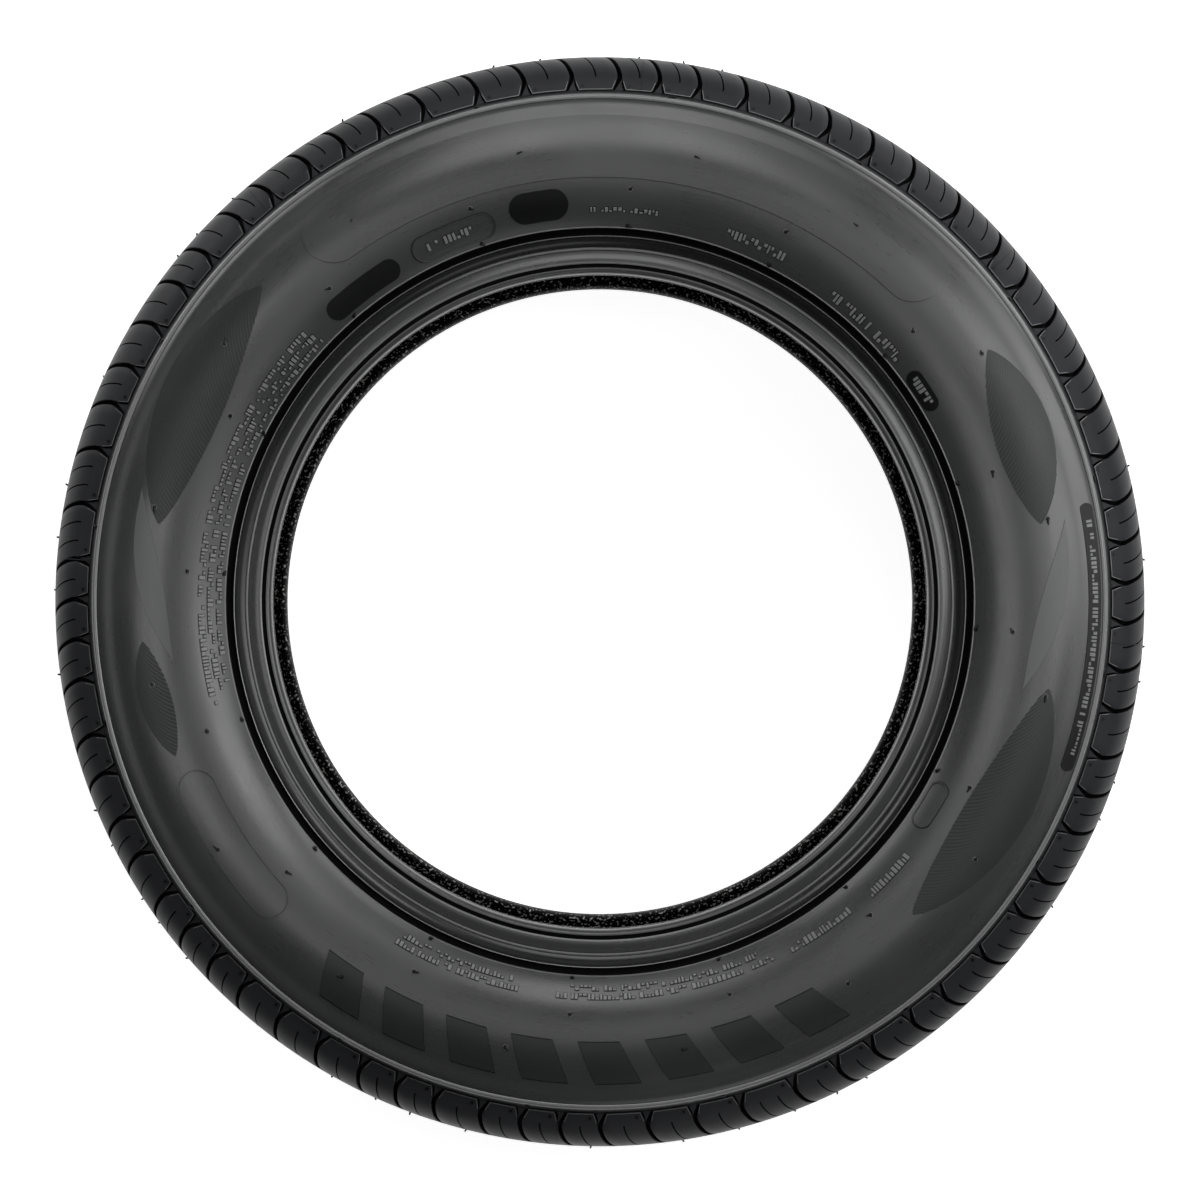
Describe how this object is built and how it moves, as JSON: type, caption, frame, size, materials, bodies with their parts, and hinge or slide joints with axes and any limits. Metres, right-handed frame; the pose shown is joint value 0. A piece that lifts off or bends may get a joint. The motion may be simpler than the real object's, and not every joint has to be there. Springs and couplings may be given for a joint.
{
  "type": "car tyre",
  "caption": "Road tyre for a family car's wheel, with ribbed tread, grooved shoulder blocks and smooth bead seats for a drop-centre rim.",
  "frame": {"origin": "centre of the tyre, on its axis, halfway between the sidewalls", "axes": "+Z along the axle, out of the sidewall that the picture shows; +Y towards the top of the picture"},
  "size_m": [0.5959, 0.596, 0.189],
  "materials": {
    "rubber": "satin black moulded rubber"
  },
  "bodies": {
    "root": {"tyre": "rubber"}
  },
  "joints": []
}
